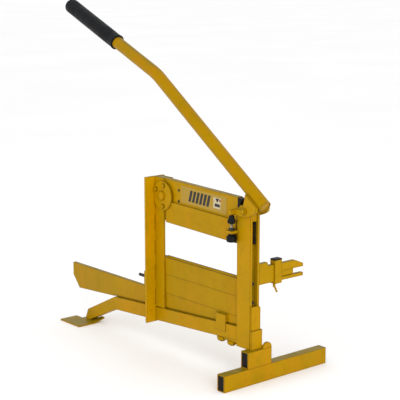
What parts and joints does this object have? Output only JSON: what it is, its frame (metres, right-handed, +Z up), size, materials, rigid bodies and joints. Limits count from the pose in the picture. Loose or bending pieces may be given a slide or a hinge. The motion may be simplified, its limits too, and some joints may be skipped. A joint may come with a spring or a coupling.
{
  "type": "tile cutter",
  "caption": "Lever-operated tile and paving splitter: portal frame, lower knife, hinged knife beam with long hand lever, thickness spindle and rear guide arm.",
  "frame": {"origin": "middle of the foot bar's underside, on the floor", "axes": "+X along the knives from the left upright to the right column, +Y from the front of the machine to its rear, +Z up"},
  "size_m": [0.9698, 0.412, 1.0831],
  "materials": {
    "yellow_paint": "satin",
    "knife_steel": "satin",
    "bright_steel": "satin",
    "dark_steel": "satin",
    "rubber": "matte",
    "knob": "matte",
    "spring": "satin",
    "label": "satin"
  },
  "bodies": {
    "frame": {"foot_bar": "yellow_paint", "foot_block": "yellow_paint", "foot_plugs": "knob", "foot_ear": "yellow_paint", "foot_post": "yellow_paint", "post_sleeve": "yellow_paint", "column_front": "yellow_paint", "column_rear": "yellow_paint", "column_filler": "yellow_paint", "column_screws": "dark_steel", "anvil_plate": "yellow_paint", "middle_plate": "yellow_paint", "wing_plate": "yellow_paint", "lower_knife": "knife_steel", "lower_knife_screws": "dark_steel", "base_rail": "yellow_paint", "rail_bracket": "yellow_paint", "rail_block": "yellow_paint", "rail_nuts": "yellow_paint", "upright_web": "yellow_paint", "front_flange": "yellow_paint", "rear_hinge_plate": "yellow_paint", "pivot_disc": "yellow_paint", "disc_screws": "yellow_paint", "beam_pin": "yellow_paint", "beam_pin_nut": "dark_steel", "side_boss": "yellow_paint", "side_stud": "dark_steel", "left_foot": "yellow_paint", "guide_arm": "yellow_paint", "arm_spacer": "yellow_paint", "lever_pin": "yellow_paint", "lever_pin_clips": "yellow_paint", "pivot_washers": "bright_steel", "return_spring": "spring"},
    "lever": {"lever_tube": "yellow_paint", "lever_cap": "yellow_paint", "lever_grip": "rubber", "front_cheek": "yellow_paint", "rear_cheek": "yellow_paint", "nose_roller": "yellow_paint"},
    "beam": {"knife_beam": "yellow_paint", "front_clamp_bar": "yellow_paint", "rear_clamp_bar": "yellow_paint", "upper_knife": "knife_steel", "clamp_bar_bolts": "dark_steel", "label_plate": "label", "label_screws": "dark_steel", "spindle_lug": "yellow_paint", "lug_nut": "dark_steel", "beam_buffer": "rubber"},
    "spindle": {"spindle_rod": "bright_steel", "handwheel": "knob"},
    "star": {"star_nut": "knob"},
    "stop": {"stop_block": "yellow_paint", "stop_cap": "knob"},
    "clamp": {"clamp_screw": "yellow_paint"}
  },
  "joints": [
    {"name": "lever_pivot", "type": "hinge", "parent": "frame", "child": "lever", "pos_m": [-0.019, -0.077, 0.509], "axis": [0, -1, 0], "range_deg": [0, 30], "stiffness_Nm_per_rad": 30, "springref_deg": -57.3},
    {"name": "beam_pivot", "type": "hinge", "parent": "frame", "child": "beam", "pos_m": [-0.405, -0.077, 0.497], "axis": [0, 1, 0], "range_deg": [0, 3.7], "deforming": ["return_spring"]},
    {"name": "spindle_turn", "type": "hinge", "parent": "beam", "child": "spindle", "pos_m": [-0.065, -0.11, 0.447], "axis": [0, 0, 1], "continuous": true},
    {"name": "star_nut_turn", "type": "hinge", "parent": "beam", "child": "star", "pos_m": [-0.065, -0.11, 0.478], "axis": [0, 0, 1], "continuous": true},
    {"name": "stop_slide", "type": "slide", "parent": "frame", "child": "stop", "axis": [0, 1, 0], "range_m": [-0.011, 0.02]},
    {"name": "clamp_screw_turn", "type": "hinge", "parent": "stop", "child": "clamp", "pos_m": [-0.007, 0.006, 0.277], "axis": [0, 0, 1], "continuous": true}
  ],
  "couplings": [
    {"joint": "beam_pivot", "follows": "lever_pivot", "ratio": 0.123}
  ]
}
